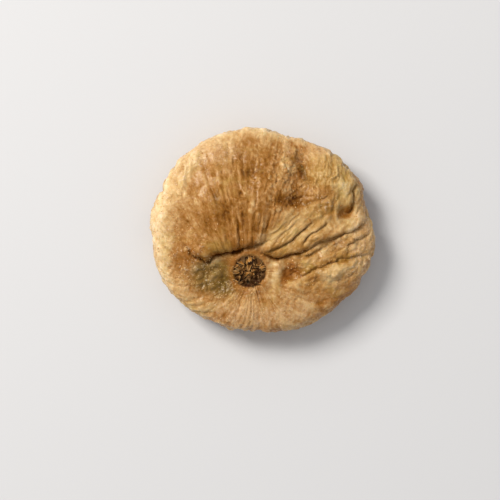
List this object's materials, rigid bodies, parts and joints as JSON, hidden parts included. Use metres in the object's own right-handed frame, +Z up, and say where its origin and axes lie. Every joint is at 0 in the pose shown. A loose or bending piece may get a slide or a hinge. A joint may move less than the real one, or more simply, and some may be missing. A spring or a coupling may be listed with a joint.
{
  "type": "dried fig",
  "caption": "Whole pale dried fig, pressed into a thick wrinkled cake, with its eye and bracts on top and its neck and short stem folded flat underneath.",
  "frame": {"origin": "on the surface the fig lies on, under the middle of its outline", "axes": "+Z up through the pressed face, +X across the face along its widest way, +Y from the eye towards the side where the stem lies underneath"},
  "size_m": [0.0584, 0.0532, 0.0164],
  "materials": {
    "fig_skin": "dry leathery fruit skin, pale ochre with a faint sheen and a light bloom of sugar; dark violet-brown bracts in the eye, grey-brown woody stem"
  },
  "bodies": {
    "root": {"dried_fig": "fig_skin"}
  },
  "joints": []
}
